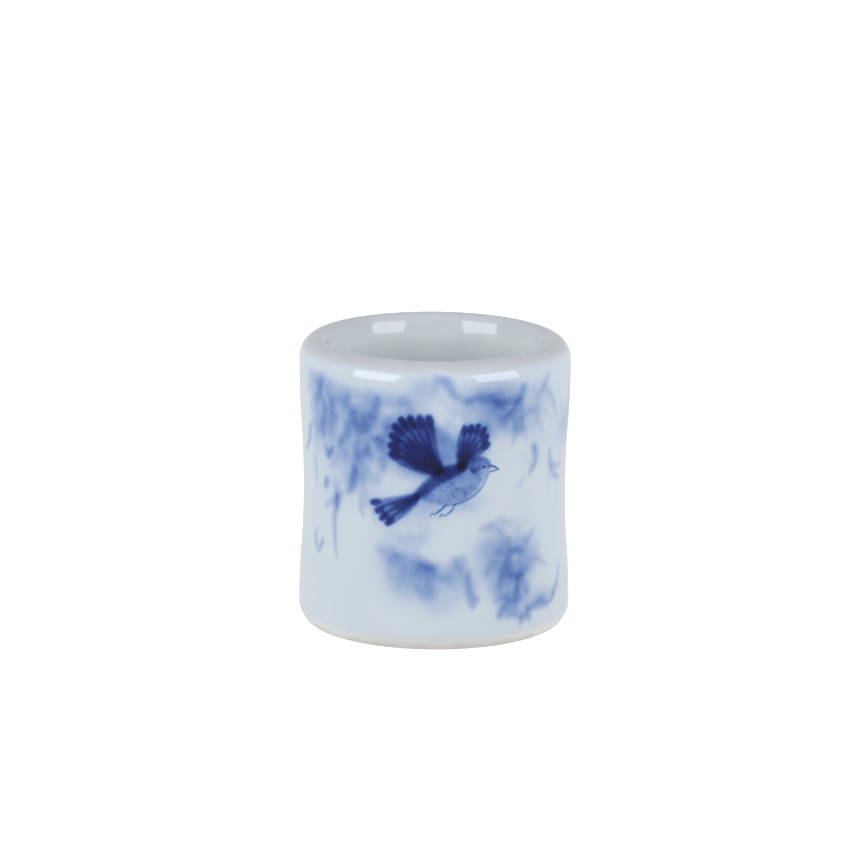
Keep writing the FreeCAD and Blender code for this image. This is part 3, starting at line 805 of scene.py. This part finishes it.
def painted_glaze():
    """The outside glaze: faintly blue white over the cobalt, thin and cream where it ends at the foot."""
    shader = Shader("painted_glaze")
    density = shader.number("cobalt")
    fine = shader.noise(0.7, detail=4, roughness=0.65)
    grain = shader.range(fine, 0.25, 0.75, -0.09, 0.09, smoothly=False)
    coarse = shader.noise(3.5, detail=4, roughness=0.6)
    drift = shader.range(coarse, 0.25, 0.75, -0.14, 0.14, smoothly=False)
    thick = shader.range(density, 0.55, 0.9, 1.0, 0.3)
    varied = shader.math("MULTIPLY", density, thick)
    uneven = shader.math("MULTIPLY", shader.math("ADD", grain, drift), varied)
    density = shader.math("ADD", density, uneven, clamp=True)
    colour = shader.ramp(density, COBALT)
    pale = shader.range(shader.noise(22, detail=2), 0.3, 0.7)
    clear = shader.range(density, 0.0, 0.2, 1.0, 0.0)
    colour = shader.mix(shader.math("MULTIPLY", pale, clear), colour, COOL_GLAZE)
    # Painted shade: the unpainted glaze goes darker and greyer over the top 4 mm, towards the crest.
    lip = shader.math("MULTIPLY", shader.range(shader.height(), TOP - 4, TOP - 1), clear)
    colour = blemishes(shader, shader.mix(lip, colour, SHADED_LIP_GLAZE))
    thin = shader.number("thin_glaze")
    shader.set(Base_Color=shader.mix(thin, colour, BISCUIT_CREAM))
    gloss(shader, 0.025)
    return shader.material


def plain_glaze(name, colour):
    """Clear glaze with no painting under it: greyish white at the lip, which is painted shade, and down in
    the bore its own faint green, made paler and greener by painted bounce light.
    """
    shader = Shader(name)
    # Painted shade at the lip, giving way lower down to the colour given; in the bore that colour carries
    # painted bounce light.
    deep = shader.range(shader.height(), TOP - 1, TOP - 8)
    tint_with_painted_light = shader.mix(deep, SHADED_LIP_GLAZE, colour)
    cloudy = shader.range(shader.noise(12, detail=3), 0.3, 0.7, 0.0, 0.35)
    tint_with_painted_light = shader.mix(cloudy, tint_with_painted_light, COOL_GLAZE)
    shader.set(Base_Color=blemishes(shader, tint_with_painted_light))
    gloss(shader, 0.03)
    return shader.material


def biscuit():
    """Bare fired porcelain: matt, with a fine grain, faint turning rings and a warm flush."""
    shader = Shader("biscuit")
    flush = shader.range(shader.noise(9, detail=3), 0.35, 0.75)
    colour = shader.mix(flush, BISCUIT_CREAM, light(231, 226, 217))
    grain = shader.range(shader.noise(0.35, detail=4, roughness=0.7), 0.2, 0.8)
    colour = shader.mix(shader.math("MULTIPLY", grain, 0.25), colour, light(212, 207, 199))
    brown, grey = shader.dots(3.4, 0.22, 0.2), shader.dots(2.2, 0.12, 0.2)
    colour = shader.mix(shader.math("MULTIPLY", brown, 0.8), colour, light(112, 84, 62))
    colour = shader.mix(shader.math("MULTIPLY", grey, 0.7), colour, light(96, 92, 90))
    shader.set(Base_Color=colour)
    shader.set(Roughness=shader.range(shader.noise(1.5), 0.3, 0.7, 0.55, 0.75))
    rings = shader.node("TexWave", wave_type="RINGS", rings_direction="Z")
    shader.feed(rings.inputs["Vector"], shader.place)
    rings.inputs["Scale"].default_value = 0.3 / MM
    rings.inputs["Distortion"].default_value = 1.5
    turned = shader.bump(rings.outputs["Fac"], 0.02)
    shader.set(Normal=shader.bump(shader.noise(0.25, detail=4, roughness=0.75), 0.03, under=turned))
    return shader.material


# ---------------------------------------------------------------- pieces
def keep(made, material, node):
    """Gives a piece its material, hides the CAD node that it stands for and hangs it under the root body.
    """
    made.data.materials.append(material)
    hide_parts(node)
    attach(made, "root")


def step_outside(height):
    """How far apart the wall's rows are: close where the bird is."""
    if 34 < height < 79:
        return 0.31
    return 0.62 if height < 90 else 0.8


def make_outer_glaze():
    """The painted coat, from its run-out edge above the foot to the crest of the lip."""
    arcs = [foot_arcs()[1], *wall_arcs(), *lip_arcs()[:2]]
    over = traced(arcs, GLAZE)
    under = traced(arcs, step=0.5)
    over = over[over[:, 1] >= GLAZE_LINE]
    under = under[under[:, 1] >= GLAZE_LINE]
    rows = spaced(over, step_outside)
    back = spaced(under, lambda height: 8.0)[::-1]
    outline = np.concatenate([rows, back])
    outer = np.arange(len(outline)) < len(rows)
    surface = [(line[:, 1], line[:, 0]) for line in (over, under)]

    def flow(radius, height, turn):
        """The glaze's edge wanders up and down, and the coat thins towards it."""
        spot = np.stack([np.degrees(turn) * DEGREE, 0 * turn], -1)
        wander = GLAZE_LINE_WANDERS * (cloud(spot, 9, 21) + 0.4 * cloud(spot, 2.5, 22))
        height = height + wander * (1 - smooth((height - GLAZE_LINE) / 5))
        full = np.interp(height, *surface[0])
        bare = np.interp(height, *surface[1])
        line = GLAZE_LINE + wander
        share = 0.15 + 0.85 * smooth((height - line) / GLAZE_RUNS_OUT) ** 0.5
        near_edge = height < GLAZE_LINE + 6
        coat = bare + (full - bare) * share
        return np.where(near_edge, np.where(outer[:, None], coat, bare), radius), height

    made, degrees, height = revolved("outer_glaze_visual", outline, columns(), True, flow)
    add_numbers(made, "cobalt", painted(degrees, height))
    edge = height[0]
    add_numbers(made, "thin_glaze", 0.9 * (1 - smooth((height - edge) / GLAZE_RUNS_OUT)))
    finished(made)
    keep(made, painted_glaze(), "outer_glaze")


def bore_outline(grow):
    """The inside of the lip, the bore and the floor, as far as the axis."""
    floor = BORE_FLOOR + grow
    corner = FLOOR_ARC - grow
    centre = (BORE - FLOOR_ARC, BORE_FLOOR + FLOOR_ARC)
    lip = traced(lip_arcs()[2:], grow)
    turned = traced([(centre, corner, RIGHT, DOWN)])
    return np.concatenate([lip, turned, [[0.0, floor]]])


def make_inner_glaze():
    """The coat that lines the bore and covers the floor inside."""
    face = spaced(bore_outline(GLAZE), lambda height: 0.6 if height > 70 else 1.5)
    back = spaced(bore_outline(0.0), lambda height: 3.0)[::-1]
    face[-1, 0] = 0.0
    back[0, 0] = 0.0
    outline = np.concatenate([back, face])
    made, _, _ = revolved("inner_glaze_visual", outline, even_columns(192), False)
    finished(made)
    # The bore's colour is its own faint green made paler and greener by painted bounce light.
    keep(made, plain_glaze("bore_glaze", BOUNCE_LIT_BORE_GLAZE), "inner_glaze")


def make_base_glaze():
    """The glazed disc in the hollow under the base, with a rounded and slightly wandering edge."""
    radius, top = BASE_DISC.x, BASE_DISC.z
    turn = np.radians(np.linspace(0, 90, 6))
    edge = np.stack([radius - GLAZE * (1 - np.sin(turn[::-1])), top - GLAZE * np.cos(turn[::-1])], 1)
    face = [[share * (radius - GLAZE), top - GLAZE] for share in (0.0, 0.3, 0.6, 0.85)]
    outline = np.concatenate([face, edge[::-1], [[0.0, top]]])

    def flow(radius, height, turn):
        spot = np.stack([np.degrees(turn) * DEGREE, 0 * turn], -1)
        return radius * (1 - 0.012 * (1 + cloud(spot, 11, 23))), height

    made, _, _ = revolved("base_glaze_visual", outline, even_columns(192), False, flow)
    finished(made)
    keep(made, plain_glaze("base_glaze", COOL_GLAZE), "base_glaze")


def make_body():
    """The bare clay: seen at the foot, on the ring and at the edge of the hollow under the base."""
    recess = BASE_DISC.z
    ring = traced([
        ((RECESS - RECESS_ARC, recess - RECESS_ARC), RECESS_ARC, UP, RIGHT),
        ((FOOT_INNER + FOOT_EDGE_ARC, FOOT_EDGE_ARC), FOOT_EDGE_ARC, LEFT, LEFT + 90),
    ])
    outside = traced([*foot_arcs(), *wall_arcs(), *lip_arcs()[:2]])
    line = np.concatenate([ring, outside, bore_outline(0.0)])
    rows = spaced(line, lambda height: 0.35 if height < 9 else 2.5)
    outline = np.concatenate([[[0.0, recess]], rows])
    outline[-1, 0] = 0.0
    made, _, _ = revolved("porcelain_body_visual", outline, even_columns(240), False)
    finished(made)
    keep(made, biscuit(), "porcelain_body")


# ---------------------------------------------------------------- floor, light and camera
def add_floor():
    """A plain pale table top."""
    shader = Shader("floor")
    shader.set(Base_Color=(0.9, 0.9, 0.9, 1), Roughness=0.8)
    shader.set(**{"Specular IOR Level": 0.0, "Emission Color": (1, 1, 1, 1), "Emission Strength": 0.75})
    mesh = bpy.data.meshes.new("floor")
    work = bmesh.new()
    bmesh.ops.create_circle(work, cap_ends=True, segments=96, radius=6.0)
    work.to_mesh(mesh)
    work.free()
    floor = bpy.data.objects.new("floor", mesh)
    mesh.materials.append(shader.material)
    bpy.context.scene.collection.objects.link(floor)
    floor.location.z = -0.0002
    floor.visible_diffuse = False
    floor.visible_glossy = False


def add_softbox(name, azimuth, elevation, wide, tall, strength):
    """A rectangular lamp 1 metre from the pot. Azimuth is from the front, to the right."""
    data = bpy.data.lights.new(name, "AREA")
    data.shape = "RECTANGLE"
    data.size, data.size_y = wide, tall
    data.energy = strength * wide * tall * math.pi
    lamp = bpy.data.objects.new(name, data)
    a, e = math.radians(azimuth), math.radians(elevation)
    out = Vector((math.sin(a) * math.cos(e), -math.cos(a) * math.cos(e), math.sin(e)))
    lamp.location = Vector((0, 0, GLAZED.z * MM)) + out
    lamp.rotation_euler = out.to_track_quat("Z", "Y").to_euler()
    bpy.context.scene.collection.objects.link(lamp)


def add_light():
    """Two softboxes beside the camera. The studio is bright below and behind the pot, and dim in front."""
    add_softbox("softbox_left", -52, 18, 0.72, 0.58, 3.9)
    add_softbox("softbox_right", 54, 18, 0.70, 0.58, 3.7)
    world = bpy.data.worlds.new("studio")
    bpy.context.scene.world = world
    world.use_nodes = True
    tree = world.node_tree
    background = tree.nodes["Background"]
    background.inputs[0].default_value = (0.985, 0.99, 1.0, 1)
    toward = tree.nodes.new("ShaderNodeVectorMath")
    toward.operation = "DOT_PRODUCT"
    toward.inputs[1].default_value = (0, 0.5, -0.5)
    dim = tree.nodes.new("ShaderNodeMapRange")
    tree.links.new(tree.nodes.new("ShaderNodeTexCoord").outputs["Generated"], toward.inputs[0])
    tree.links.new(toward.outputs["Value"], dim.inputs[0])
    for socket, value in zip(list(dim.inputs)[1:], (-0.7, 0.7, 0.24, 0.82)):
        socket.default_value = value
    tree.links.new(dim.outputs[0], background.inputs[1])


def add_camera():
    """A long lens, level with neither the lip nor the foot: it looks down into the mouth a little."""
    data = bpy.data.cameras.new("camera")
    data.lens = 254.3
    data.clip_start, data.clip_end = 0.05, 50
    camera = bpy.data.objects.new("camera", data)
    bpy.context.scene.collection.objects.link(camera)
    aim = Vector((-2.57, 0, 65.5)) * MM
    elevation, distance, roll = math.radians(13.1), 2.0, math.radians(0.32)
    out = Vector((0, -math.cos(elevation), math.sin(elevation)))
    camera.matrix_world = (Matrix.Translation(aim + out * distance)
                           @ out.to_track_quat("Z", "Y").to_matrix().to_4x4()
                           @ Matrix.Rotation(roll, 4, "Z"))
    bpy.context.scene.camera = camera
    bpy.context.scene.view_settings.view_transform = "Standard"


make_outer_glaze()
make_inner_glaze()
make_base_glaze()
make_body()
add_floor()
add_light()
add_camera()
